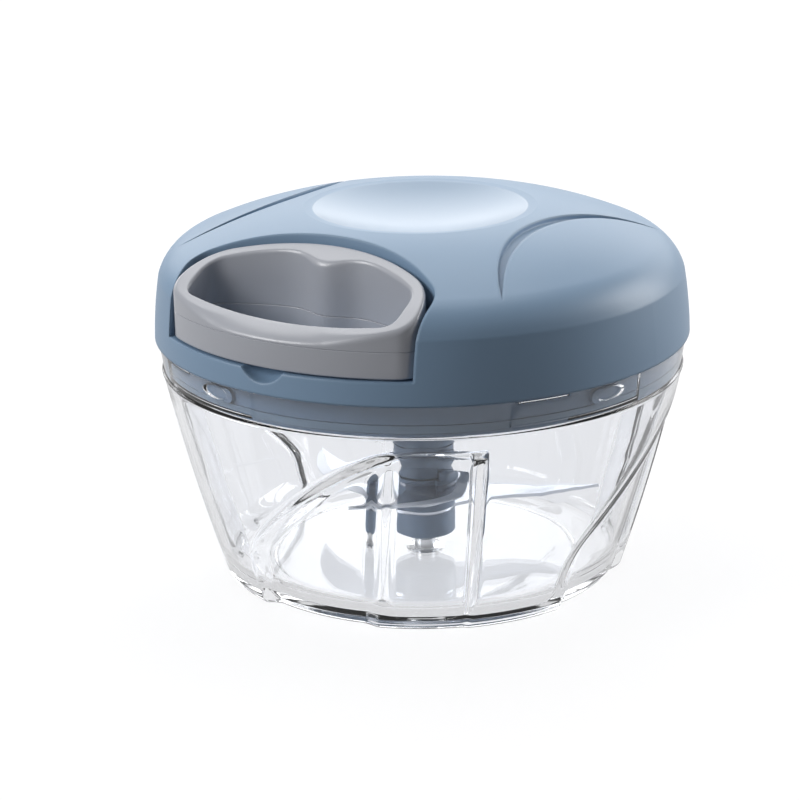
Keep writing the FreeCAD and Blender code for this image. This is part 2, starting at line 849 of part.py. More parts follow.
def make_clutch_pawls():
    """Two arms on the drum's pegs, whose noses lie against the ratchet's teeth."""
    bottom = ratchet_bottom + 1.5 * stack_gap
    top = bottom + pawl_thickness
    nose = ratchet_radius + pawl_clearance
    eye = rod(pawl_eye_radius, bottom, top, pawl_pivot_circle)
    length = math.sqrt(pawl_pivot_circle ** 2 - nose ** 2)
    lean = math.atan2(length, nose)
    tip_x = nose * math.cos(lean)
    tip_y = nose * math.sin(lean)
    along = (tip_x - pawl_pivot_circle, tip_y)
    size = math.hypot(*along)
    across = (along[1] / size * pawl_nose_width, -along[0] / size * pawl_nose_width)
    arm = plate([
        (pawl_pivot_circle, 0.0),
        (pawl_pivot_circle + across[0], across[1]),
        (tip_x + across[0], tip_y + across[1]),
        (tip_x, tip_y),
    ], bottom, pawl_thickness)
    pawl = eye.fuse(arm).removeSplitter()
    pawl = pawl.cut(rod(pawl_pivot_radius + running_clearance, bottom, top, pawl_pivot_circle))
    return Part.makeCompound(around(pawl, pawl_count))


def make_retaining_clip():
    shape = ring(clip_radius, hex_radius - clip_thickness, clip_bottom, clip_bottom + clip_thickness)
    return shape.cut(block(0.0, far, -clip_opening, clip_opening, clip_bottom, far))


def make_drive_coupler():
    head = rod(tube_outer_radius, coupler_end_height, shaft_shoulder)
    half = peg_width / 2
    mouth = sector(far, peg_azimuth - half - dog_play, peg_azimuth + half + lock_angle + dog_play,
                   coupler_end_height - 1.0, coupler_end_height + dog_mouth_depth)
    mouth = mouth.cut(rod(dog_root_radius, 0.0, far))
    shape = head.cut(around(mouth, dog_count))
    shape = shape.fuse(rod(shaft_radius, shaft_shoulder, ratchet_bottom))
    neck = rod(hex_radius - clip_thickness, clip_bottom - stack_gap, clip_bottom + clip_thickness)
    shape = shape.fuse(hexagon(hex_radius, ratchet_bottom, shaft_top)).fuse(neck)
    return shape.cut(rod(axle_bore_radius, axle_bottom, far)).removeSplitter()


def make_shaft_bushes():
    lower = ring(tube_inner_radius, shaft_bore_radius, tube_bottom_height,
                 tube_bottom_height + bush_length)
    upper = ring(tube_inner_radius, shaft_bore_radius, plate_top - bush_length, plate_top)
    flange = ring(bush_flange_radius, shaft_bore_radius, plate_top, plate_top + bush_flange_thickness)
    return Part.makeCompound([lower, upper.fuse(flange).removeSplitter()])


# Blade set

def make_blade_hub():
    hub = turned([
        (pin_bore_radius, hub_bottom_height),
        (hub_cone_radius, hub_bottom_height),
        (hub_radius, hub_bottom_height + hub_cone_height),
        (hub_radius, blade_lower_height),
        (pin_bore_radius, blade_lower_height),
    ])
    spigot = hexagon(hub_hex_radius, blade_lower_height, hub_cap_bottom)
    spigot = spigot.cut(rod(pin_bore_radius, 0.0, far))
    return hub.fuse(spigot).removeSplitter()


def make_blade_spacers():
    spacers = []
    for k in (1, 2):
        bottom = blade_lower_height + k * blade_thickness + (k - 1) * spacer_height
        spacer = rod(hub_radius, bottom, bottom + spacer_height)
        spacers.append(spacer.cut(hexagon(hub_hex_radius, bottom, bottom + spacer_height)))
    return Part.makeCompound(spacers)


def make_hub_cap():
    cap = rod(hub_radius, hub_cap_bottom, hub_cap_top)
    half = peg_width / 2
    inner = dog_root_radius + peg_radial_gap
    peg = sector(inner + peg_reach - peg_radial_gap, peg_azimuth - half, peg_azimuth + half,
                 hub_cap_bottom, hub_cap_top + peg_height)
    peg = peg.cut(rod(inner, 0.0, far))
    pad = sector(hub_cap_radius, peg_azimuth - half - hub_cap_pad, peg_azimuth + half + hub_cap_pad,
                 hub_cap_bottom, hub_cap_top)
    return cap.fuse(around(peg, dog_count)).fuse(around(pad, dog_count)).removeSplitter()


def make_blade(level):
    """Sickle blade of one level: a flat ring on the spigot and a bent arm."""
    bottom = blade_lower_height + level * (blade_thickness + spacer_height)
    middle_rise, tip_rise = blade_bends[level]
    tip = blade_tip_radius
    half = tip / 2
    arm = plate([
        (0.0, blade_trail_start, -bow((0.0, blade_trail_start), (half, blade_trail_offset), (tip, 0.0))),
        (tip, 0.0, bow((tip, 0.0), (half, blade_lead_offset), (0.0, blade_lead_start))),
        (0.0, blade_lead_start),
    ], bottom - far, 2 * far)
    face = Part.Face(Part.Wire(edges_of([
        (-far, bottom),
        (blade_bend_start, bottom),
        (blade_bend_middle, bottom + middle_rise),
        (tip + 1.0, bottom + tip_rise),
        (tip + 1.0, bottom + tip_rise + blade_thickness),
        (blade_bend_middle, bottom + middle_rise + blade_thickness),
        (blade_bend_start, bottom + blade_thickness),
        (-far, bottom + blade_thickness),
    ], lambda x, z: V(x, -far, z))))
    sheet = face.extrude(V(0, 2 * far, 0))
    blade = arm.common(sheet).fuse(rod(hub_radius - stack_gap, bottom, bottom + blade_thickness))
    blade = turn(blade, blade_tip_azimuths[level] - quarter_turn)
    return blade.cut(hexagon(hub_hex_radius, bottom - 1.0, bottom + 1.0 + blade_thickness))


def bow(start, through, end):
    """Height, over its chord, of the arc from start to end that passes near through."""
    run = math.hypot(end[0] - start[0], end[1] - start[1])
    cross = (end[0] - start[0]) * (through[1] - start[1]) - (end[1] - start[1]) * (through[0] - start[0])
    return abs(cross) / run


os.makedirs("parts", exist_ok=True)

save("bowl", make_bowl())
save("bowl_pin", pin_shape())
save("lid_seal", make_lid_seal())
save("lid_shell", make_lid_shell())
save("lid_base", make_lid_base())
save("lid_screws", make_lid_screws())
save("cord_eyelet", make_cord_eyelet())
save("cord_lead", make_cord_lead())
save("spring_arbor", make_spring_arbor())
save("drum_axle", make_drum_axle())
save("return_spring", make_return_spring())
save("shaft_bushes", make_shaft_bushes())
save("pull_handle_top", make_handle_top())
save("pull_handle_bottom", make_handle_bottom())
save("handle_screws", make_handle_screws())
save("cord_knot", make_cord_knot())
save("cord_drum", make_cord_drum())
save("cord_winding", make_cord_winding())
save("spring_cover", make_spring_cover())
save("clutch_pawls", make_clutch_pawls())
save("drive_coupler", make_drive_coupler())
save("ratchet_wheel", make_ratchet_wheel())
save("retaining_clip", make_retaining_clip())
save("blade_hub", make_blade_hub())
save("blade_spacers", make_blade_spacers())
save("hub_cap", make_hub_cap())
for level, name in enumerate(("blade_lower", "blade_middle", "blade_upper")):
    save(name, make_blade(level))
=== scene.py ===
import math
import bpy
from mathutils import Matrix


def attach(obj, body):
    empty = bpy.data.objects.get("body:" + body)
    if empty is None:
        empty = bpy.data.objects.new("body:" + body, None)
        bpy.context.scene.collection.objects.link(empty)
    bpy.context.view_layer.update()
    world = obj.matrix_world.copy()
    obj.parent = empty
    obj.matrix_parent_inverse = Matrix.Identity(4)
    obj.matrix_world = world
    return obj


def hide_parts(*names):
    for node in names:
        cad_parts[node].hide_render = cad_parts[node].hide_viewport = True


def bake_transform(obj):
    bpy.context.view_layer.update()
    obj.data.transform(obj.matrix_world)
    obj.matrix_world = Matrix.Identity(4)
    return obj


bl_info = {
    "name": "Pull-cord food chopper",
    "version": (1, 0, 0),
    "blender": (4, 5, 0),
    "location": "View3D > Sidebar > Chopper",
    "description": "Dresses the food chopper's solids: clear bowl, satin lid, pull handle and blades",
    "category": "Object",
}

import bpy
import numpy as np
from bpy.props import FloatProperty, FloatVectorProperty, PointerProperty
from mathutils import Matrix, Vector

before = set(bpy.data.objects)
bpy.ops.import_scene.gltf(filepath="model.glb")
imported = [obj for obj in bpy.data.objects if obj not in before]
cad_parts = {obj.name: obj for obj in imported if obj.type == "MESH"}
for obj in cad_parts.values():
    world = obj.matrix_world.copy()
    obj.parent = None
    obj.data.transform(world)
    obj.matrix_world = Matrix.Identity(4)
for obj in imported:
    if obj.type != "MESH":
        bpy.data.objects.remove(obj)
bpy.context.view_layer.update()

MM = 0.001


# Sizes and colours that a user would change

def length(name, millimetres, description):
    return FloatProperty(name=name, description=description, default=millimetres * MM, unit="LENGTH",
                         subtype="DISTANCE", precision=5)


def degrees(name, value, description):
    return FloatProperty(name=name, description=description, default=math.radians(value), unit="ROTATION",
                         subtype="ANGLE")


def colour(name, red, green, blue, description):
    """A colour given as 0 to 255 on screen, kept as the light that it stands for."""
    return FloatVectorProperty(name=name, description=description, size=3, subtype="COLOR",
                               default=[linear(c) for c in (red, green, blue)], min=0.0, max=1.0)


def linear(screen):
    share = screen / 255.0
    if share <= 0.04045:
        return share / 12.92
    return ((share + 0.055) / 1.055) ** 2.4


class StageSizes(bpy.types.PropertyGroup):
    camera_reach: length("Camera distance", 560.0, "From the chopper's axis to the camera, level")
    camera_height: length("Camera height", 222.3, "Camera over the table")
    camera_azimuth: degrees("Camera azimuth", 34.0, "From the handle's side towards the right")
    camera_pitch: degrees("Camera pitch", 18.124, "How far the camera looks down")
    camera_yaw: degrees("Camera yaw", -0.56, "How far the camera looks past the axis")
    camera_roll: degrees("Camera roll", -1.012, "Lean of the picture")
    focal_length: FloatProperty(name="Focal length", description="Lens for a 36 mm wide sensor",
                                default=111.79, subtype="DISTANCE_CAMERA")
    floor_colour: colour("Floor", 124, 124, 126, "Colour of the table top where lamps reach it")


class BowlSizes(bpy.types.PropertyGroup):
    base_radius: length("Base radius", 47.7, "Outside of the wall at the table")
    shoulder_radius: length("Shoulder radius", 61.0, "Outside of the wall under the collar")
    shoulder_height: length("Shoulder height", 49.7, "Where the collar starts")
    rim_radius: length("Rim radius", 61.76, "Outside of the collar at its top")
    rim_height: length("Rim height", 57.4, "Top of the collar")
    collar_inner_radius: length("Collar bore", 59.0, "Inside of the collar")
    wall: length("Wall", 2.2, "Thickness of the wall")
    wall_bulge: length("Wall bulge", 0.72, "How far the wall bows outwards")
    floor: length("Floor", 2.6, "Height of the floor inside")
    foot_radius: length("Foot radius", 35.8, "Inner edge of the ring that it stands on")
    foot_recess: length("Foot recess", 0.8, "How far the floor is off the table")
    swirl_depth: length("Swirl depth", 1.7, "How far the scoops go in past the step")
    swirl_width: length("Swirl width", 2.8, "Width of the slope round a scoop")
    step_depth: length("Step depth", 0.6, "How far the shallow step beside each scoop goes in")
    fin_reach: length("Fin reach", 4.4, "How far the upright fins stand in")
    fin_height: length("Fin height", 44.0, "Top of the fins")
    tint: colour("Tint", 250, 251, 253, "Colour of the clear plastic")


class LidSizes(bpy.types.PropertyGroup):
    edge_round: length("Edge rounding", 0.9, "Radius on the lid's moulded edges")
    dish_radius: length("Dish radius", 25.1, "Edge of the smoother dish, which stays sharp")
    blue: colour("Blue", 128, 155, 182, "Colour of the lid")
    # Lid blue darkened as painted shade, for the base and skirt that sit in shade under the lid behind the clear
    # collar
    base_blue_painted_shade: colour("Base blue", 80, 101, 124, "Colour of the lid's base and skirt")
    # Lid blue darkened as painted shade, for the column that sits in shade inside the bowl under the lid
    column_blue_painted_shade: colour("Column blue", 82, 100, 121, "Colour of the blade column")


class HandleSizes(bpy.types.PropertyGroup):
    half_width: length("Half width", 32.5, "From the middle to the side")
    front_radius: length("Front radius", 61.6, "Round of the front about the lid's axis")
    back_radius: length("Back radius", 55.1, "Round of the back edge")
    back_centre: length("Back centre", -87.5, "Centre of the back edge's round")
    grip_half_width: length("Grip half width", 27.7, "Half of the finger opening")
    grip_front: length("Grip front", -56.3, "Front of the finger opening")
    grip_front_radius: length("Grip front radius", 116.0, "Round of the opening's front")
    grip_back_radius: length("Grip back radius", 52.1, "Round of the opening's back")
    bump_depth: length("Bump depth", 3.5, "Round bump that parts the fingers")
    bump_width: length("Bump width", 6.2, "Reach of the bump to each side")
    bottom: length("Bottom", 63.4, "Underside of the handle")
    parting: length("Parting height", 69.4, "Where the two halves meet")
    front_height: length("Front height", 71.5, "Height of the sloping top over the slope line")
    slope_line: length("Slope line", -60.0, "Where the sloping top has the front height")
    slope: FloatProperty(name="Slope", description="Rise of the top per length towards the axis", default=0.4326)
    outer_round: length("Outer rounding", 1.2, "Radius along the outer top edge at the back")
    front_round: length("Front rounding", 4.5, "Width of the rounded ridge at the front")
    inner_round: length("Inner rounding", 1.2, "Radius along the finger opening")
    back_lift: length("Back lift", 0.9, "How far the top's back stands over the sloping plane")
    ledge: length("Ledge", 0.25, "How far the lower half stands into the finger opening")
    grey: colour("Grey", 175, 178, 186, "Colour of the handle")


class CordSizes(bpy.types.PropertyGroup):
    radius: length("Radius", 0.9, "Half of the cord's thickness")
    height: length("Height", 69.4, "Height of the cord's run")
    winding_inner: length("Winding inner radius", 14.2, "Root of the first layer")
    knot_reach: length("Knot reach", 35.4, "From the axis to the knot's middle")
    white: colour("Cord", 226, 228, 230, "Colour of the cord")


class BladeSizes(bpy.types.PropertyGroup):
    tip_radius: length("Tip radius", 43.0, "From the axis to the tips")
    thickness: length("Thickness", 0.8, "Thickness of the steel")
    root_radius: length("Root radius", 11.2, "Round of the leading edge about the column")
    ground_width: length("Ground width", 2.8, "Width of the ground edge")
    tooth_pitch: length("Tooth pitch", 0.62, "Distance between the fine teeth")
    tooth_depth: length("Tooth depth", 0.4, "Depth of the fine teeth")
    steel: colour("Steel", 196, 201, 210, "Colour of the blades")
    # Lighter than the blade steel: partly the ground edges' own finish, partly a painted highlight for the lamps'
    # glints along the teeth
    ground_and_highlight_steel: colour("Ground steel", 226, 229, 234, "Colour of the ground edges")


# Meshes

def smooth(low, high, value):
    share = np.clip((value - low) / (high - low), 0.0, 1.0)
    return share * share * (3.0 - 2.0 * share)


def soft_min(a, b, width):
    """Lesser of two distances, with the corner between them rounded over a width."""
    share = np.clip(width - np.abs(a - b), 0.0, None) / width
    return np.minimum(a, b) - share * share * width / 4.0


def add_object(name, points, faces, material, body, sharp=None):
    """Mesh object with smooth faces, whose edges stay sharp over an angle where one is given."""
    mesh = bpy.data.meshes.new(name)
    mesh.from_pydata([tuple(p) for p in points], [], faces)
    mesh.validate()
    mesh.update()
    mesh.shade_smooth()
    if sharp:
        mesh.set_sharp_from_angle(angle=math.radians(sharp))
    piece = bpy.data.objects.new(name, mesh)
    bpy.context.scene.collection.objects.link(piece)
    mesh.materials.append(material)
    if body:
        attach(piece, body)
    return piece


def loop_faces(rows, columns, closed=False, start=0):
    """Quads between rows of points that each go once round."""
    faces = []
    last = rows if closed else rows - 1
    for i in range(last):
        low = start + i * columns
        high = start + (i + 1) % rows * columns
        for j in range(columns):
            k = (j + 1) % columns
            faces.append((low + j, low + k, high + k, high + j))
    return faces


def tube(path, radius, sides=12):
    """Points and faces of a round tube along a path, with flat ends."""
    path = [Vector(p) for p in path]
    points = []
    across = None
    for i, place in enumerate(path):
        ahead = (path[min(i + 1, len(path) - 1)] - path[max(i - 1, 0)]).normalized()
        if across is None:
            across = ahead.orthogonal().normalized()
        across = (across - ahead * across.dot(ahead)).normalized()
        up = ahead.cross(across)
        for j in range(sides):
            turn = 2.0 * math.pi * j / sides
            points.append(place + across * (radius * math.cos(turn)) + up * (radius * math.sin(turn)))
    faces = loop_faces(len(path), sides)
    faces.append(tuple(range(sides))[::-1])
    last = (len(path) - 1) * sides
    faces.append(tuple(range(last, last + sides)))
    return points, faces


def around_axis(azimuth, radius, height):
    """Point at an azimuth, which is counted from -Y towards +X."""
    return radius * math.sin(azimuth), -radius * math.cos(azimuth), height


# Materials

class Value:
    """A socket that takes part in sums: an expression on values adds its Math nodes."""

    def __init__(self, maker, socket):
        self.maker = maker
        self.socket = socket

    def apply(self, operation, *operands):
        math_node = self.maker.node("ShaderNodeMath", {"operation": operation},
                                    {i: operand for i, operand in enumerate(operands)})
        return math_node["Value"]

    def __add__(self, other):
        return self.apply("ADD", self, other)

    __radd__ = __add__

    def __sub__(self, other):
        return self.apply("SUBTRACT", self, other)

    def __rsub__(self, other):
        return self.apply("SUBTRACT", other, self)

    def __mul__(self, other):
        return self.apply("MULTIPLY", self, other)

    __rmul__ = __mul__

    def maximum(self, other):
        return self.apply("MAXIMUM", self, other)


class Node:
    def __init__(self, maker, node):
        self.maker = maker
        self.node = node

    def __getitem__(self, name):
        return Value(self.maker, self.node.outputs[name])


class Maker:
    """Builds one material or world out of nodes."""

    def __init__(self, owner):
        owner.use_nodes = True
        self.tree = owner.node_tree
        self.tree.nodes.clear()

    def node(self, kind, settings=None, sockets=None):
        node = self.tree.nodes.new(kind)
        for name, setting in (settings or {}).items():
            setattr(node, name, setting)
        for name, value in (sockets or {}).items():
            if isinstance(value, Value):
                self.tree.links.new(value.socket, node.inputs[name])
            elif isinstance(value, (tuple, list)) and len(value) == 3 and node.inputs[name].type == "RGBA":
                node.inputs[name].default_value = (*value, 1.0)
            else:
                node.inputs[name].default_value = value
        return Node(self, node)

    def mix_colour(self, share, first, second):
        return self.node("ShaderNodeMix", {"data_type": "RGBA"}, {0: share, 6: first, 7: second}).node.outputs[2]

    def noise(self, place, size, detail=2.0):
        return self.node("ShaderNodeTexNoise", {}, {"Vector": place, "Scale": 1.0 / size, "Detail": detail})["Fac"]


def shades(maker, share, base, spread):
    """Base colour that wanders a little between a darker and a lighter tone."""
    darker = [c * (1.0 - spread) for c in base]
    lighter = [min(1.0, c * (1.0 + spread)) for c in base]
    return Value(maker, maker.mix_colour(share, darker, lighter))


def moulded_plastic(name, base, roughness, grain=0.25 * MM, height=0.012 * MM, edge=0.0, dish=0.0, coat=0.0,
                    spread=0.035):
    """Satin plastic with fine grain and rounded edges. Nearer to the axis than dish it is smooth and crisp."""
    material = bpy.data.materials.new(name)
    maker = Maker(material)
    place = maker.node("ShaderNodeTexCoord")["Object"]
    cloud = maker.noise(place, 18.0 * MM, 3.0)
    fine = maker.noise(place, grain, 2.0)
    sockets = {"Height": fine, "Strength": 0.6, "Distance": height}
    if edge:
        sockets["Normal"] = maker.node("ShaderNodeBevel", {"samples": 8}, {"Radius": edge})["Normal"]
    rough = cloud * 0.08 + fine * 0.06 + (roughness - 0.07)
    if dish:
        level = maker.node("ShaderNodeVectorMath", {"operation": "MULTIPLY"}, {0: place, 1: (1.0, 1.0, 0.0)})
        reach = maker.node("ShaderNodeVectorMath", {"operation": "LENGTH"}, {0: level["Vector"]})["Value"]
        within = maker.node("ShaderNodeClamp", {}, {"Value": (dish - reach) * 4000.0})["Result"]
        near = maker.node("ShaderNodeClamp", {}, {"Value": (dish + 4.0 * MM - reach) * 1000.0})["Result"]
        facet = maker.node("ShaderNodeNewGeometry")["Normal"]
        mixed = maker.node("ShaderNodeMix", {"data_type": "VECTOR"}, {0: near, 4: sockets["Normal"], 5: facet})
        sockets["Normal"] = Value(maker, mixed.node.outputs[1])
        rough = rough - within * 0.12
        coat = within * 0.4 + coat
    bump = maker.node("ShaderNodeBump", {}, sockets)["Normal"]
    shader = maker.node("ShaderNodeBsdfPrincipled", {}, {
        "Base Color": shades(maker, cloud, base, spread),
        "Roughness": rough,
        "Coat Weight": coat,
        "Coat Roughness": 0.25,
        "Normal": bump,
    })
    maker.node("ShaderNodeOutputMaterial", {}, {"Surface": shader["BSDF"]})
    return material


def brushed_steel(name, base, roughness, turn=0.0, edge=0.0, fine=(6.0, 0.12, 6.0)):
    """Steel with fine lines along a direction in the object's level plane."""
    material = bpy.data.materials.new(name)
    maker = Maker(material)
    place = maker.node("ShaderNodeTexCoord")["Object"]
    turned = maker.node("ShaderNodeMapping", {}, {
        "Vector": place, "Rotation": (0.0, 0.0, turn),
        "Scale": tuple(1.0 / (size * MM) for size in fine)})["Vector"]
    lines = maker.node("ShaderNodeTexNoise", {}, {"Vector": turned, "Scale": 1.0, "Detail": 3.0})["Fac"]
    cloud = maker.noise(place, 9.0 * MM, 2.0)
    sockets = {"Height": lines, "Strength": 0.35, "Distance": 0.01 * MM}
    if edge:
        sockets["Normal"] = maker.node("ShaderNodeBevel", {"samples": 4}, {"Radius": edge})["Normal"]
    bump = maker.node("ShaderNodeBump", {}, sockets)["Normal"]
    shader = maker.node("ShaderNodeBsdfPrincipled", {}, {
        "Base Color": shades(maker, lines, base, 0.06),
        "Metallic": 1.0,
        "Roughness": lines * 0.12 + cloud * 0.06 + (roughness - 0.09),
        "Normal": bump,
    })
    maker.node("ShaderNodeOutputMaterial", {}, {"Surface": shader["BSDF"]})
    return material


def clear_plastic(name, tint):
    """Polished clear plastic, which lets the lamps' light through to what is inside."""
    material = bpy.data.materials.new(name)
    maker = Maker(material)
    place = maker.node("ShaderNodeTexCoord")["Object"]
    flow = maker.noise(place, 14.0 * MM, 1.5)
    bump = maker.node("ShaderNodeBump", {}, {"Height": flow, "Strength": 0.25, "Distance": 0.25 * MM})["Normal"]
    shader = maker.node("ShaderNodeBsdfPrincipled", {}, {
        "Base Color": shades(maker, flow, tint, 0.01),
        "Roughness": 0.015,
        "IOR": 1.49,
        "Transmission Weight": 1.0,
        "Normal": bump,
    })
    passing = maker.node("ShaderNodeBsdfTransparent", {}, {"Color": (0.93, 0.94, 0.95)})
    to_lamp = maker.node("ShaderNodeLightPath")["Is Shadow Ray"]
    mixed = maker.node("ShaderNodeMixShader", {}, {0: to_lamp, 1: shader["BSDF"], 2: passing["BSDF"]})
    maker.node("ShaderNodeOutputMaterial", {}, {"Surface": mixed["Shader"]})
    return material


def braided_cord(name, base):
    material = bpy.data.materials.new(name)
    maker = Maker(material)
    place = maker.node("ShaderNodeTexCoord")["Object"]
    waves = []
    for direction in ("DIAGONAL", "X"):
        wave = maker.node("ShaderNodeTexWave", {"bands_direction": direction},
                          {"Vector": place, "Scale": 350.0, "Distortion": 1.5})
        waves.append(wave["Fac"])
    strands = waves[0].maximum(waves[1])
    bump = maker.node("ShaderNodeBump", {}, {"Height": strands, "Strength": 0.8, "Distance": 0.12 * MM})["Normal"]
    shader = maker.node("ShaderNodeBsdfPrincipled", {}, {
        "Base Color": shades(maker, strands, base, 0.1),
        "Roughness": 0.8,
        "Sheen Weight": 0.3,
        "Normal": bump,
    })
    maker.node("ShaderNodeOutputMaterial", {}, {"Surface": shader["BSDF"]})
    return material


def dress(material, *names):
    """Gives CAD nodes a procedural material."""
    for name in names:
        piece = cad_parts[name]
        piece.data.materials.clear()
        piece.data.materials.append(material)


# Bowl

# Azimuths in degrees of the first of each four alike features, counted from -Y towards +X
SCOOP_START = -35.0
FIN_AZIMUTH = 46.2
LUG_AZIMUTH = 75.8
ENTRY_START, ENTRY_END = 65.4, 86.2
LOCK_START, LOCK_END = 52.0, 76.25
QUARTER = math.pi / 2.0

# Azimuth in degrees and height in millimetres of the arch over one scoop
ARCH = ((-20.0, 8.5), (-13.2, 16.7), (-6.6, 22.6), (-1.7, 26.1), (5.0, 31.5), (11.1, 37.0), (15.6, 39.5),
        (19.8, 41.7), (24.2, 43.0), (29.1, 44.4), (34.2, 44.9), (40.0, 44.8), (46.2, 44.2))


def swirl_field(sizes, azimuth, height, inset):
    """How far the wall stands in at an azimuth and height: scoops and shallow steps, four of each."""
    start = math.radians(SCOOP_START)
    local = (azimuth - start) % QUARTER + start
    middle = math.radians(3.0)
    radius = wall_radius(sizes, height)
    t = radius * np.sin(local - middle)
    left = -16.5 * MM - inset
    right = 14.7 * MM + 0.1974 * height + inset
    arch = np.polyfit(*np.array(ARCH).T, 5)
    turned = np.degrees(local)
    slope = np.polyval(np.polyder(arch), turned) * MM / (radius * math.radians(1.0))
    over = (np.polyval(arch, turned) * MM + inset - height) / np.sqrt(1.0 + slope * slope)
    fin_side = radius * (math.radians(FIN_AZIMUTH) - local)
    scoop = soft_min(soft_min((t - left) / 1.3, (right - t) / 1.6, 1.5 * MM), over, 2.5 * MM)
    step = np.minimum(np.minimum(t - left, fin_side + inset), over)
    return (sizes.swirl_depth * smooth(-0.3 * MM, sizes.swirl_width, scoop)
            + sizes.step_depth * smooth(0.0, sizes.swirl_width * 0.8, step))


def wall_radius(sizes, height):
    share = height / sizes.shoulder_height
    span = sizes.shoulder_radius - sizes.base_radius
    return sizes.base_radius + span * share + 4.0 * sizes.wall_bulge * share * (1.0 - share)


def fin_field(sizes, azimuth, height):
    """How far the upright fins stand in from the wall."""
    local = (azimuth - math.radians(FIN_AZIMUTH) + QUARTER / 2.0) % QUARTER - QUARTER / 2.0
    across = np.abs(local) * wall_radius(sizes, height)
    half = 0.75 * MM + 0.55 * MM * height / sizes.fin_height
    side = 1.0 - smooth(half - 0.2 * MM, half + 0.25 * MM, across)
    top = 1.0 - smooth(sizes.fin_height - 1.8 * MM, sizes.fin_height + 0.3 * MM, height)
    return sizes.fin_reach * side * top


def groove_field(azimuth, height):
    """Share of the bayonet's groove in the collar's bore: the way in, and the roofed way to lock."""
    first = 30.0
    local = np.degrees((azimuth - math.radians(first)) % QUARTER) + first
    soft = 0.2
    above = smooth(50.7 * MM, 51.1 * MM, height)
    entry = smooth(ENTRY_START - soft, ENTRY_START + soft, local)
    entry = entry * (1.0 - smooth(ENTRY_END - soft, ENTRY_END + soft, local)) * above
    roof = 56.6 * MM
    drop = 5.6 * MM
    ramp = roof - drop * np.exp(-np.clip(local - LOCK_START + 0.1, 0.0, None) / 0.6)
    lock = smooth(LOCK_START - soft, LOCK_START + soft, local)
    lock = lock * (1.0 - smooth(LOCK_END - 0.25, LOCK_END + 0.25, local)) * above
    lock = lock * (1.0 - smooth(ramp - 0.15 * MM, ramp + 0.15 * MM, height))
    return np.maximum(entry, lock)


def stop_field(sizes, azimuth, height):
    """Share of the oval dents outside the collar, one over each lug."""
    local = (azimuth - math.radians(LUG_AZIMUTH) + QUARTER / 2.0) % QUARTER - QUARTER / 2.0
    half_width, half_height, middle = 4.7 * MM, 1.75 * MM, 54.9 * MM
    reach = np.hypot(local * sizes.rim_radius / half_width, (height - middle) / half_height)
    return 1.0 - smooth(0.72, 1.02, reach)


def bowl_columns():
    """Azimuths of the bowl's columns, closer together at the fins and at the bayonet's edges."""
    plain = np.arange(0.0, 360.0, 0.5)
    extra = []
    for quarter in range(4):
        for offset in (-1.6, -1.4, -1.2, -1.05, -0.9, -0.75, 0.75, 0.9, 1.05, 1.2, 1.4, 1.6):
            extra.append(FIN_AZIMUTH + 90.0 * quarter + offset)
        for edge in (LOCK_START, ENTRY_START, ENTRY_END):
            extra += [edge + 90.0 * quarter - 0.2, edge + 90.0 * quarter + 0.2]
        extra += [90.0 * quarter + offset for offset in np.arange(70.75, 81.0, 0.5)]
    columns = np.unique(np.round(np.concatenate([plain, np.array(extra) % 360.0]), 3))
    return np.radians(columns)


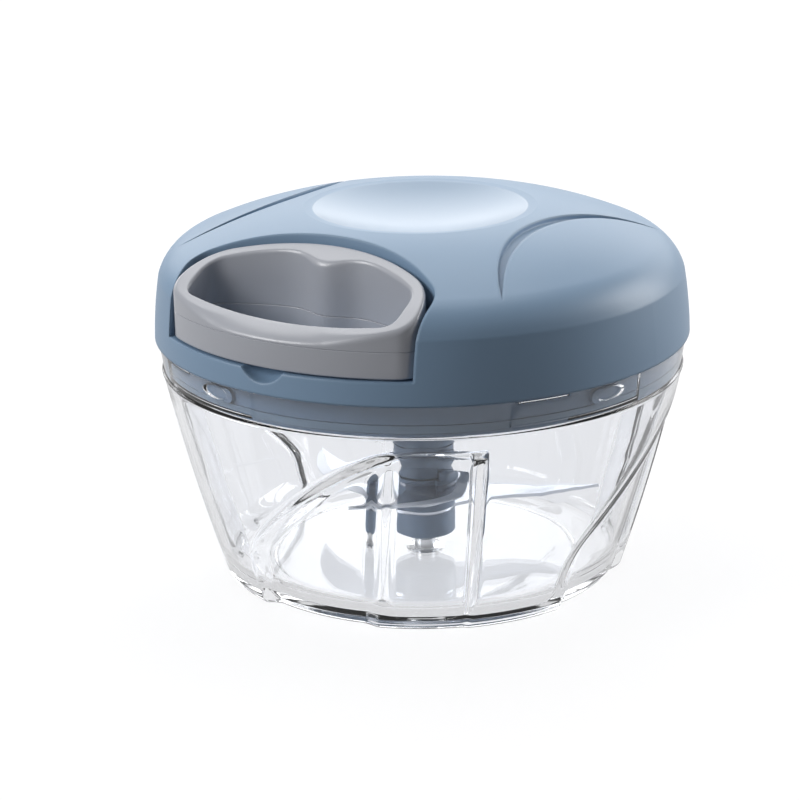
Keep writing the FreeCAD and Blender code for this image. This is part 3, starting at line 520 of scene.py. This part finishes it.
class CHOPPER_OT_bowl(bpy.types.Operator):
    """Moulds the clear bowl with its swirl, fins, bayonet collar and foot"""
    bl_idname = "chopper.bowl"
    bl_label = "Bowl"

    def execute(self, context):
        sizes = context.scene.chopper_bowl
        azimuth = bowl_columns()
        ones = np.ones_like(azimuth)
        rows = []

        def row(radius, height):
            rows.append((radius * ones, height * ones))

        def outside(height):
            return wall_radius(sizes, height) - swirl_field(sizes, azimuth, height, 0.0)

        def inside(height):
            return wall_radius(sizes, height) - sizes.wall - swirl_field(sizes, azimuth, height, sizes.wall)

        foot = sizes.foot_radius
        recess = sizes.foot_recess
        for radius in (3.0, 12.0, 24.0, 32.0, 35.0):
            row(radius * MM, recess)
        row(foot, recess)
        row(foot + 0.3 * MM, recess * 0.6)
        row(foot + 0.8 * MM, 0.0)
        edge = outside(0.0)
        for share in (0.3, 0.6, 1.0):
            row(foot + 0.8 * MM + (edge - 1.0 * MM - foot - 0.8 * MM) * share, 0.0)
        row(edge - 0.5 * MM, 0.13 * MM)
        row(edge - 0.14 * MM, 0.48 * MM)
        for height in np.concatenate([np.arange(1.0, 49.3, 0.5), [49.35]]) * MM:
            row(outside(height), height)
        shoulder = sizes.shoulder_radius
        for grow, height in ((0.12, 49.6), (0.14, 49.8), (0.0, 49.98), (-0.28, 50.05), (-0.32, 50.3)):
            row(shoulder + grow * MM, height * MM)
        for height in np.arange(50.6, 57.2, 0.25) * MM:
            share = (height - 50.3 * MM) / (sizes.rim_height - 50.3 * MM)
            plain = shoulder - 0.32 * MM + (sizes.rim_radius - shoulder + 0.32 * MM) * share
            row(plain - 0.45 * MM * stop_field(sizes, azimuth, height), height)
        for inwards, drop in ((0.04, 0.22), (0.14, 0.08), (0.35, 0.0), (1.3, 0.0)):
            row(sizes.rim_radius - inwards * MM, sizes.rim_height - drop * MM)
        bore = sizes.collar_inner_radius

        def collar(height):
            return bore + 1.0 * MM * groove_field(azimuth, height)

        row(collar(sizes.rim_height) + 0.3 * MM, sizes.rim_height)
        row(collar(sizes.rim_height) + 0.08 * MM, sizes.rim_height - 0.08 * MM)
        for height in np.array([57.1, 56.85, 56.7, 56.6, 56.5, 56.35, 55.5, 54.5, 53.6, 52.9, 52.75, 52.6, 52.45,
                                52.3, 51.5, 50.6, 50.1]) * MM:
            row(collar(height), height)
        fin_rows = np.arange(44.4, 42.0, -0.25)
        heights = np.concatenate([[49.7], np.arange(49.2, 44.6, -0.5), fin_rows, np.arange(41.9, 8.6, -0.5)])
        for height in heights * MM:
            row(inside(height) - fin_field(sizes, azimuth, height), height)
        corner = 5.6 * MM
        for turn in np.radians(np.arange(0.0, 91.0, 7.5)):
            height = sizes.floor + corner * (1.0 - math.sin(turn))
            plain = inside(height) - corner * (1.0 - math.cos(turn))
            row(np.minimum(plain, inside(height) - fin_field(sizes, azimuth, height)), height)
        last = inside(sizes.floor) - corner
        for share in (0.05, 0.15, 0.3, 0.5, 0.7, 0.85):
            row(last + (4.7 * MM - last) * share, sizes.floor)
        for radius, height in ((4.7, 2.6), (2.56, 2.6), (2.56, 1.94), (4.56, 1.94), (4.56, 1.16), (1.5, 1.16)):
            row(radius * MM, height * MM)

        count = len(azimuth)
        points = []
        for radius, height in rows:
            points += list(zip(radius * np.sin(azimuth), -radius * np.cos(azimuth), height))
        faces = loop_faces(len(rows), count)
        points.append((0.0, 0.0, recess))
        points.append((0.0, 0.0, 1.16 * MM))
        low = len(points) - 2
        high = len(points) - 1
        last_row = (len(rows) - 1) * count
        for j in range(count):
            k = (j + 1) % count
            faces.append((low, k, j))
            faces.append((high, last_row + j, last_row + k))
        material = clear_plastic("clear_plastic", list(sizes.tint))
        piece = add_object("bowl_moulding", points, faces, material, "bowl")
        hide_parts("bowl")
        dress(brushed_steel("pin_steel", (0.72, 0.73, 0.75), 0.3, edge=0.2 * MM, fine=(3.0, 3.0, 0.1)),
              "bowl_pin")
        return {"FINISHED"}


# Lid

class CHOPPER_OT_lid(bpy.types.Operator):
    """Gives the lid's shell, its base, the seal and the screws their finishes"""
    bl_idname = "chopper.lid"
    bl_label = "Lid"

    def execute(self, context):
        sizes = context.scene.chopper_lid
        shell = moulded_plastic("lid_satin_blue", sizes.blue, 0.44, edge=sizes.edge_round,
                                dish=sizes.dish_radius, coat=0.06)
        # The base's darker blue is painted shade of the skirt under the lid
        base = moulded_plastic("base_blue_painted_shade", sizes.base_blue_painted_shade, 0.4, edge=0.3 * MM)
        dress(shell, "lid_shell")
        dress(base, "lid_base")
        # The seal's dark blue is painted shade, matched to the shaded skirt around it
        dress(moulded_plastic("silicone", (0.09, 0.14, 0.2), 0.6, spread=0.02), "lid_seal")
        dress(brushed_steel("screw_steel", (0.66, 0.66, 0.67), 0.35, edge=0.15 * MM, fine=(0.3, 0.3, 0.3)),
              "lid_screws", "handle_screws")
        return {"FINISHED"}


# Pull handle

def outer_distance(sizes, x, y):
    """How far inside the handle's outer outline a point is."""
    side = sizes.half_width - np.abs(x)
    back = sizes.back_radius - np.hypot(x, y - sizes.back_centre)
    front = sizes.front_radius - np.hypot(x, y)
    return soft_min(soft_min(side, back, 7.5 * MM), front, 3.0 * MM)


def grip_distance(sizes, x, y):
    """How far inside the finger opening a point is."""
    side = sizes.grip_half_width - np.abs(x)
    front = y - sizes.grip_front - x * x / (2.0 * sizes.grip_front_radius)
    bump = sizes.bump_depth * np.exp(-((x / sizes.bump_width) ** 2))
    back = sizes.grip_back_radius - np.hypot(x, y - sizes.back_centre) - bump
    return soft_min(soft_min(side, back, 3.2 * MM), front, 3.0 * MM)


def outline_along(sizes, inside, middle, directions):
    """Where rays from a middle point leave an outline, found by halving."""
    near = np.zeros(len(directions))
    far = np.full(len(directions), 45.0 * MM)
    for _ in range(40):
        half = (near + far) / 2.0
        x = middle[0] + half * directions[:, 0]
        y = middle[1] + half * directions[:, 1]
        within = inside(sizes, x, y) > 0.0
        near = np.where(within, half, near)
        far = np.where(within, far, half)
    return near


class CHOPPER_OT_handle(bpy.types.Operator):
    """Moulds the two halves of the D-shaped pull handle"""
    bl_idname = "chopper.handle"
    bl_label = "Pull handle"

    def execute(self, context):
        sizes = context.scene.chopper_handle
        middle = (0.0, -47.0 * MM)
        count = 300
        turns = np.linspace(0.0, 2.0 * math.pi, count, endpoint=False)
        directions = np.stack([1.35 * np.cos(turns), np.sin(turns)], axis=1)
        directions /= np.linalg.norm(directions, axis=1)[:, None]
        outer = outline_along(sizes, outer_distance, middle, directions)
        inner = outline_along(sizes, grip_distance, middle, directions)
        width = outer - inner
        front = smooth(0.25, 0.75, -directions[:, 1])
        parting = sizes.parting
        seam = 0.14 * MM

        def top(y):
            rise = sizes.front_height + sizes.slope * (y - sizes.slope_line)
            return rise + sizes.back_lift * smooth(-56.0 * MM, -46.0 * MM, y)

        def ring(reach, height):
            x = middle[0] + reach * directions[:, 0]
            y = middle[1] + reach * directions[:, 1]
            if callable(height):
                height = height(y)
            return list(zip(x, y, height + 0.0 * x))

        room = top(middle[1] + outer * directions[:, 1]) - parting - seam
        across_out = np.minimum(sizes.outer_round * (1.0 - front) + sizes.front_round * front, width * 0.8)
        down_out = np.minimum(sizes.outer_round * (1.0 + 0.5 * front), room * 0.85)
        across_in = np.minimum(sizes.inner_round, width * 0.2)
        steps = np.radians(np.linspace(0.0, 90.0, 9))
        rings = [ring(inner + 0.8 * MM, parting), ring(outer - 0.8 * MM, parting), ring(outer - seam, parting),
                 ring(outer, parting + seam)]
        side_top = parting + seam + room - down_out
        rings += [ring(outer, parting + seam + (side_top - parting - seam) * share) for share in (0.3, 0.65, 0.93)]
        for turn in steps:
            drop = down_out * (1.0 - math.sin(turn))
            rings.append(ring(outer - across_out * (1.0 - math.cos(turn)), lambda y: top(y) - drop))
        rings += [ring(outer - across_out - (width - across_out - across_in) * share, top) for share in (0.33, 0.66)]
        for turn in steps:
            drop = across_in * (1.0 - math.cos(turn))
            rings.append(ring(inner + across_in * (1.0 - math.sin(turn)), lambda y: top(y) - drop))
        for share in (0.93, 0.65, 0.3, 0.0):
            rings.append(ring(inner, lambda y: parting + seam + (top(y) - across_in - parting - seam) * share))
        rings.append(ring(inner + seam, parting))
        grey = moulded_plastic("handle_grey", sizes.grey, 0.3, grain=0.2 * MM, height=0.005 * MM, coat=0.4)
        points = [point for each in rings for point in each]
        upper = add_object("handle_upper", points, loop_faces(len(rings), count, closed=True), grey, "handle",
                           sharp=30.0)
        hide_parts("pull_handle_top")

        low = sizes.bottom
        soft = 0.5 * MM
        inset = inner - sizes.ledge
        under = parting - 0.01 * MM
        rings = [ring(inset + 0.8 * MM, under), ring(inset + 0.12 * MM, under), ring(inset, under - 0.12 * MM)]
        bends = [(soft * (1.0 - math.cos(turn)), soft * (1.0 - math.sin(turn)))
                 for turn in np.radians((0.0, 22.5, 45.0, 67.5, 90.0))]
        rings += [ring(inset + inwards, low + rise) for inwards, rise in bends]
        rings += [ring(outer - inwards, low + rise) for inwards, rise in reversed(bends)]
        rings += [ring(outer, parting - seam), ring(outer - seam, under), ring(outer - 0.8 * MM, under)]
        points = [point for each in rings for point in each]
        lower = add_object("handle_lower", points, loop_faces(len(rings), count, closed=True), grey, "handle",
                           sharp=30.0)
        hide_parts("pull_handle_bottom")
        return {"FINISHED"}


# Cord

class CHOPPER_OT_cord(bpy.types.Operator):
    """Lays the cord: its coil on the drum, the lead through the eyelet and the knot"""
    bl_idname = "chopper.cord"
    bl_label = "Cord"

    def execute(self, context):
        sizes = context.scene.chopper_cord
        material = braided_cord("braided_cord", list(sizes.white))
        radius = sizes.radius
        level = sizes.height
        path = []
        turns_per_layer = 2
        steps = 96
        for layer in range(2):
            ring_radius = sizes.winding_inner + radius + layer * 2.0 * radius
            for step in range(turns_per_layer * steps + 1):
                share = step / (turns_per_layer * steps)
                rise = (share - 0.5) * 2.0 * radius * (1 if layer == 0 else -1)
                angle = 2.0 * math.pi * turns_per_layer * share
                path.append((ring_radius * math.cos(angle), ring_radius * math.sin(angle), level + rise))
        points, faces = tube(path, radius * 0.97, 10)
        coil = add_object("cord_coil", points, faces, material, "drum")
        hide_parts("cord_winding")

        run = [(-13.53, -13.36), (-10.0, -16.9), (-6.5, -20.4), (-3.4, -23.5), (-1.6, -25.3), (-0.6, -26.6),
               (-0.12, -28.2), (0.0, -29.8)]
        path = [(x * MM, y * MM, level) for x, y in run]
        lid_end = -30.0 * MM
        handle_end = -33.2 * MM
        for share in np.linspace(0.0, 1.0, 120):
            path.append((0.0, lid_end + (handle_end - lid_end) * share, level))
        path.append((0.0, -sizes.knot_reach + 1.2 * MM, level))
        points, faces = tube(path, radius, 12)
        lead = add_object("cord_lead_run", points, faces, material, None)
        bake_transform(lead)
        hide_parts("cord_lead")

        path = []
        for step in range(121):
            angle = 2.0 * math.pi * step / 120
            x = math.sin(angle) + 2.0 * math.sin(2.0 * angle)
            z = math.cos(angle) - 2.0 * math.cos(2.0 * angle)
            path.append((0.36 * MM * x, -sizes.knot_reach + 0.42 * MM * math.sin(3.0 * angle),
                         level + 0.36 * MM * z))
        points, faces = tube(path, 0.62 * MM, 10)
        knot = add_object("cord_end_knot", points, faces, material, "handle")
        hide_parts("cord_knot")
        return {"FINISHED"}


# Blades

def arc_between(start, through, end, x):
    """Height at x of the round arc through three points."""
    (ax, ay), (bx, by), (cx, cy) = start, through, end
    d = 2.0 * (ax * (by - cy) + bx * (cy - ay) + cx * (ay - by))
    a2, b2, c2 = ax * ax + ay * ay, bx * bx + by * by, cx * cx + cy * cy
    ux = (a2 * (by - cy) + b2 * (cy - ay) + c2 * (ay - by)) / d
    uy = (a2 * (cx - bx) + b2 * (ax - cx) + c2 * (bx - ax)) / d
    radius = math.hypot(ax - ux, ay - uy)
    sign = 1.0 if by > uy else -1.0
    return uy + sign * np.sqrt(np.maximum(radius * radius - (x - ux) ** 2, 0.0))


class CHOPPER_OT_blades(bpy.types.Operator):
    """Grinds the three sickle blades, with the fine teeth of the top one"""
    bl_idname = "chopper.blades"
    bl_label = "Blades"

    # Node, underside in millimetres, azimuth in degrees, rise of the blade at 29 mm and at its tip, fine teeth
    blades = (
        ("blade_lower", 12.8, 131.0, (-0.6, 1.8), False),
        ("blade_middle", 16.2, -109.0, (-0.5, -1.0), False),
        ("blade_upper", 19.6, 11.0, (4.2, 7.2), True),
    )

    def execute(self, context):
        sizes = context.scene.chopper_blades
        for node, bottom, azimuth, rises, toothed in self.blades:
            self.make(sizes, node, bottom * MM, math.radians(azimuth - 90.0), rises, toothed)
        return {"FINISHED"}

    def make(self, sizes, node, bottom, turn, rises, toothed):
        tip = sizes.tip_radius
        root = sizes.root_radius
        tail = -9.0 * MM
        count = 520
        x = np.linspace(tail, tip, count)
        lead = np.where(x < 0.0, np.sqrt(np.maximum(root * root - x * x, 0.0)),
                        arc_between((0.0, root), (tip / 2.0, 13.0 * MM), (tip, 0.0), x))
        trail = np.where(x < 0.0, -6.6 * MM * np.sqrt(np.maximum(1.0 - (x / tail) ** 2, 0.0)),
                         arc_between((0.0, -6.6 * MM), (tip / 2.0, 2.6 * MM), (tip, 0.0), x))
        lead[-1] = trail[-1] = 0.0
        depth = sizes.tooth_depth if toothed else 0.0
        along = np.concatenate([[0.0], np.cumsum(np.hypot(np.diff(x), np.diff(lead)))])
        wave = np.sin(2.0 * math.pi * along / sizes.tooth_pitch)
        tooth = depth * (0.5 + 0.5 * wave)
        width = np.maximum(lead - trail, 0.0)
        ground = np.minimum(sizes.ground_width, width * 0.6)
        edge = lead - np.minimum(tooth, width * 0.5)
        bend = np.interp(x, [9.0 * MM, 29.0 * MM, tip], [0.0, rises[0] * MM, rises[1] * MM])
        thick = sizes.thickness
        comb = 0.4 * depth * wave * np.minimum(1.0, ground / sizes.ground_width)
        lines = [(trail, 0.0), (trail, thick), (trail + (width - ground) * 0.5, thick),
                 (lead - ground, thick), (lead - ground * 0.85, thick * 0.94 + comb),
                 (edge, thick * 0.5 + comb), (edge, thick * 0.3 + comb * 0.5),
                 (lead - ground, 0.0), (trail + (width - ground) * 0.5, 0.0)]
        cos, sin = math.cos(turn), math.sin(turn)
        points = []
        for y, rise in lines:
            points += list(zip(x * cos - y * sin, x * sin + y * cos, bottom + bend + rise))
        faces = []
        rows = len(lines)
        for i in range(rows):
            low = i * count
            high = (i + 1) % rows * count
            for j in range(count - 1):
                faces.append((low + j, high + j, high + j + 1, low + j + 1))
        faces.append(tuple(i * count for i in range(rows)))
        sides = 48
        start = len(points)
        for radius, rise in ((4.95, 0.0), (7.15, 0.0), (7.15, thick / MM), (4.95, thick / MM)):
            for j in range(sides):
                angle = 2.0 * math.pi * j / sides
                points.append((radius * MM * math.cos(angle), radius * MM * math.sin(angle), bottom + rise * MM))
        faces += loop_faces(4, sides, closed=True, start=start)
        steel = brushed_steel(node + "_steel", sizes.steel, 0.2, turn=-turn, fine=(9.0, 0.09, 9.0))
        piece = add_object(node + "_ground", points, faces, steel, "blade_set", sharp=12.0)
        # The ground edges' lighter steel is partly their own finish and partly a painted highlight
        ground_and_highlight_steel = brushed_steel(node + "_edge_steel", sizes.ground_and_highlight_steel, 0.48, turn=-turn,
                                     fine=(0.12, 6.0, 6.0))
        piece.data.materials.append(ground_and_highlight_steel)
        strip = count - 1
        for face in piece.data.polygons[3 * strip:5 * strip]:
            face.material_index = 1
        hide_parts(node)


# Drive, drum and the rest of the solids

class CHOPPER_OT_drive(bpy.types.Operator):
    """Gives the column, the drive and the drum's works their finishes"""
    bl_idname = "chopper.drive"
    bl_label = "Drive and column"

    def execute(self, context):
        lid = context.scene.chopper_lid
        # The column's darker blue is painted shade of the column under the lid
        column = moulded_plastic("column_blue_painted_shade", lid.column_blue_painted_shade, 0.42, edge=0.35 * MM)
        dress(column, "blade_hub", "blade_spacers", "hub_cap", "drive_coupler")
        for place in (85.0, 265.0):
            self.add_peg(column, math.radians(place))
        white = moulded_plastic("acetal_white", (0.78, 0.78, 0.75), 0.38, edge=0.25 * MM, spread=0.02)
        dress(white, "cord_eyelet", "spring_arbor", "shaft_bushes", "cord_drum", "spring_cover", "ratchet_wheel")
        bright = brushed_steel("works_steel", (0.62, 0.63, 0.65), 0.32, edge=0.15 * MM, fine=(1.0, 1.0, 0.1))
        dress(bright, "drum_axle", "clutch_pawls")
        blued = brushed_steel("spring_steel", (0.2, 0.22, 0.27), 0.34, edge=0.1 * MM, fine=(1.0, 1.0, 0.1))
        dress(blued, "return_spring", "retaining_clip")
        return {"FINISHED"}

    def add_peg(self, material, azimuth):
        """Waisted face of a driving peg, with the wider pad at its foot."""
        profile = ((21.45, 3.25, 8.75), (21.5, 3.45, 8.95), (23.0, 3.45, 8.95), (23.35, 3.2, 8.7),
                   (23.5, 2.3, 8.25), (23.9, 1.9, 8.0), (24.6, 1.75, 7.95), (25.2, 2.0, 8.1), (25.8, 2.45, 8.3),
                   (26.05, 2.35, 8.2), (26.25, 2.0, 7.9))
        sides = 24
        points = []
        for height, half, reach in profile:
            for j in range(sides):
                turn = 2.0 * math.pi * j / sides
                wide = math.copysign(abs(math.cos(turn)) ** 0.6, math.cos(turn))
                deep = math.copysign(abs(math.sin(turn)) ** 0.6, math.sin(turn))
                outwards = (reach + 6.4) / 2.0 + (reach - 6.4) / 2.0 * deep
                points.append(around_axis(azimuth + half * wide / reach, outwards * MM, height * MM))
        faces = loop_faces(len(profile), sides)
        faces.append(tuple(range(sides))[::-1])
        faces.append(tuple(range(len(points) - sides, len(points))))
        add_object("driving_peg_%d" % round(math.degrees(azimuth)), points, faces, material, "blade_set",
                   sharp=50.0)


# Stage

class CHOPPER_OT_stage(bpy.types.Operator):
    """Sets the camera, the pale floor, the lamps and the world"""
    bl_idname = "chopper.stage"
    bl_label = "Stage"

    # Name, place as the camera sees it (right, away, up), width, height and power
    lamps = (
        ("overhead", (-0.1, 0.4, 1.15), 1.0, 1.0, 7.0),
        ("back_wall", (0.0, 1.25, 0.6), 2.4, 0.8, 11.0),
        ("left_front", (-1.0, -0.35, 0.6), 0.6, 0.6, 8.5),
        ("right_back", (1.05, 0.35, 0.45), 0.6, 0.7, 9.0),
    )

    def execute(self, context):
        sizes = context.scene.chopper_stage
        scene = context.scene
        scene.view_settings.view_transform = "Standard"
        self.add_camera(sizes, scene)
        self.add_floor(sizes)
        self.add_world(scene)
        turn = Matrix.Rotation(sizes.camera_azimuth, 4, "Z")
        for name, place, width, height, power in self.lamps:
            data = bpy.data.lights.new(name, "AREA")
            data.shape = "RECTANGLE"
            data.size = width
            data.size_y = height
            data.energy = power
            lamp = bpy.data.objects.new(name, data)
            scene.collection.objects.link(lamp)
            away = Vector(place) - Vector((0.0, 0.0, 0.05))
            lamp.matrix_world = turn @ Matrix.Translation(place) @ away.to_track_quat("Z", "Y").to_matrix().to_4x4()
        return {"FINISHED"}

    def add_camera(self, sizes, scene):
        data = bpy.data.cameras.new("camera")
        data.sensor_width = 36.0
        data.lens = sizes.focal_length
        data.clip_start = 0.01
        camera = bpy.data.objects.new("camera", data)
        scene.collection.objects.link(camera)
        pitch, yaw, roll = sizes.camera_pitch, sizes.camera_yaw, sizes.camera_roll
        ahead = Vector((math.sin(yaw) * math.cos(pitch), math.cos(yaw) * math.cos(pitch), -math.sin(pitch)))
        right = Vector((math.cos(yaw), -math.sin(yaw), 0.0))
        up = right.cross(ahead)
        leaned_right = right * math.cos(roll) + up * math.sin(roll)
        leaned_up = up * math.cos(roll) - right * math.sin(roll)
        axes = Matrix((leaned_right, leaned_up, -ahead)).transposed().to_4x4()
        axes.translation = Vector((0.0, -sizes.camera_reach, sizes.camera_height))
        camera.matrix_world = Matrix.Rotation(sizes.camera_azimuth, 4, "Z") @ axes
        scene.camera = camera

    def add_floor(self, sizes):
        half = 1.6
        level = 0.02 * MM
        points = [(-half, -half, level), (half, -half, level), (half, half, level), (-half, half, level)]
        material = bpy.data.materials.new("floor_white")
        maker = Maker(material)
        matt = maker.node("ShaderNodeBsdfDiffuse", {}, {"Color": list(sizes.floor_colour)})
        path = maker.node("ShaderNodeLightPath")
        seen = (path["Is Camera Ray"] * 0.82).maximum(path["Is Glossy Ray"] * 0.5)
        seen = seen.maximum(path["Is Transmission Ray"] * 0.68)
        glow = maker.node("ShaderNodeEmission", {}, {"Color": (1.0, 1.0, 1.0), "Strength": seen})
        both = maker.node("ShaderNodeAddShader", {}, {0: matt["BSDF"], 1: glow["Emission"]})
        maker.node("ShaderNodeOutputMaterial", {}, {"Surface": both["Shader"]})
        floor = add_object("floor", points, [(0, 1, 2, 3)], material, None)

    def add_world(self, scene):
        world = bpy.data.worlds.new("studio")
        scene.world = world
        maker = Maker(world)
        path = maker.node("ShaderNodeLightPath")
        seen = path["Is Camera Ray"].maximum(path["Is Transmission Ray"] * 0.35).maximum(path["Is Glossy Ray"] * 0.4)
        sky = maker.node("ShaderNodeBackground", {}, {"Color": (1.0, 1.0, 1.0), "Strength": seen.maximum(0.1)})
        maker.node("ShaderNodeOutputWorld", {}, {"Surface": sky["Background"]})


# Panel and registration

class CHOPPER_PT_panel(bpy.types.Panel):
    bl_idname = "CHOPPER_PT_panel"
    bl_label = "Food chopper"
    bl_space_type = "VIEW_3D"
    bl_region_type = "UI"
    bl_category = "Chopper"

    def draw(self, context):
        for holder, operators in PIECES:
            group = self.layout.box()
            for operator in operators:
                group.operator(operator.bl_idname)
            sizes = getattr(context.scene, holder)
            for name in type(sizes).__annotations__:
                group.prop(sizes, name)


PIECES = (
    ("chopper_stage", (CHOPPER_OT_stage,)),
    ("chopper_bowl", (CHOPPER_OT_bowl,)),
    ("chopper_lid", (CHOPPER_OT_lid, CHOPPER_OT_drive)),
    ("chopper_handle", (CHOPPER_OT_handle,)),
    ("chopper_cord", (CHOPPER_OT_cord,)),
    ("chopper_blades", (CHOPPER_OT_blades,)),
)
GROUPS = (
    ("chopper_stage", StageSizes),
    ("chopper_bowl", BowlSizes),
    ("chopper_lid", LidSizes),
    ("chopper_handle", HandleSizes),
    ("chopper_cord", CordSizes),
    ("chopper_blades", BladeSizes),
)


def register():
    for holder, group in GROUPS:
        bpy.utils.register_class(group)
        setattr(bpy.types.Scene, holder, PointerProperty(type=group))
    for _, operators in PIECES:
        for operator in operators:
            bpy.utils.register_class(operator)
    bpy.utils.register_class(CHOPPER_PT_panel)


def unregister():
    bpy.utils.unregister_class(CHOPPER_PT_panel)
    for _, operators in PIECES:
        for operator in operators:
            bpy.utils.unregister_class(operator)
    for holder, group in GROUPS:
        delattr(bpy.types.Scene, holder)
        bpy.utils.unregister_class(group)


def main():
    register()
    bpy.ops.chopper.stage()
    bpy.ops.chopper.cord()
    bpy.ops.chopper.bowl()
    bpy.ops.chopper.lid()
    bpy.ops.chopper.handle()
    bpy.ops.chopper.blades()
    bpy.ops.chopper.drive()


def plain(bounds):
    """The two corners of a box as lists of numbers."""
    return [[float(c) for c in corner] for corner in bounds]


if __name__ == "__main__":
    main()
